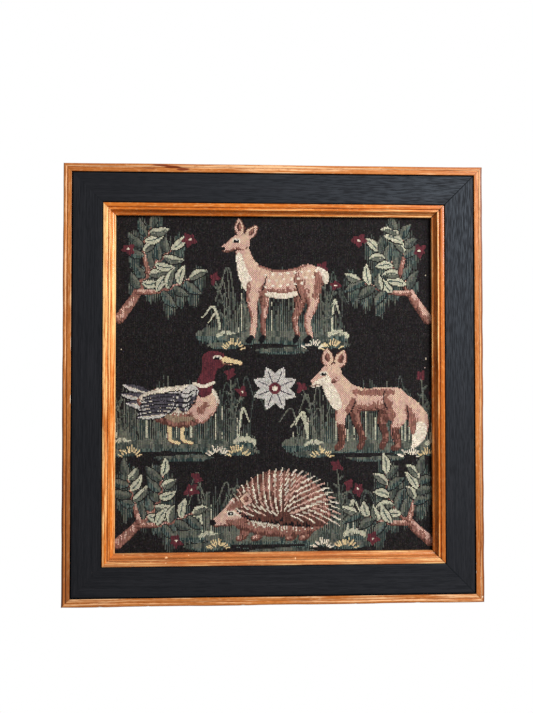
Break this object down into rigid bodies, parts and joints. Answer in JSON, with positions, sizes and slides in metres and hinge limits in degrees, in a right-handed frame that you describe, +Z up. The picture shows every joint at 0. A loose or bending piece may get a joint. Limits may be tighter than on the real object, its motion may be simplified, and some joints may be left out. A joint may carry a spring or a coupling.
{
  "type": "framed needlepoint picture, a woven cloth stretched in its wooden wall frame",
  "caption": "Upright woven picture stretched on a board in a mitred frame: a flat black rail edged with reeded pine outside and a stepped pine moulding inside.",
  "frame": {"origin": "on the wall plane, at the middle of the top rail's back, where the picture hangs", "axes": "+Z up, +Y into the wall, +X to the right of somebody who faces the picture; the front faces -Y"},
  "size_m": [0.504, 0.022, 0.526],
  "materials": {
    "outer_pine": "amber-stained pine, satin, worn pale along the arrises",
    "black_band": "black-painted open-grained wood, satin",
    "inner_pine": "amber-stained pine, satin, small dents and pale chips",
    "cloth": "matt woven cloth, charcoal ground with dusty pink, cream, sage, teal and burgundy yarns",
    "board": "plain brown hardboard, matt"
  },
  "bodies": {
    "root": {"strip_top": "outer_pine", "strip_right": "outer_pine", "strip_bottom": "outer_pine", "strip_left": "outer_pine", "band_top": "black_band", "band_right": "black_band", "band_bottom": "black_band", "band_left": "black_band", "moulding_top": "inner_pine", "moulding_right": "inner_pine", "moulding_bottom": "inner_pine", "moulding_left": "inner_pine", "cloth": "cloth", "back_board": "board"}
  },
  "joints": []
}
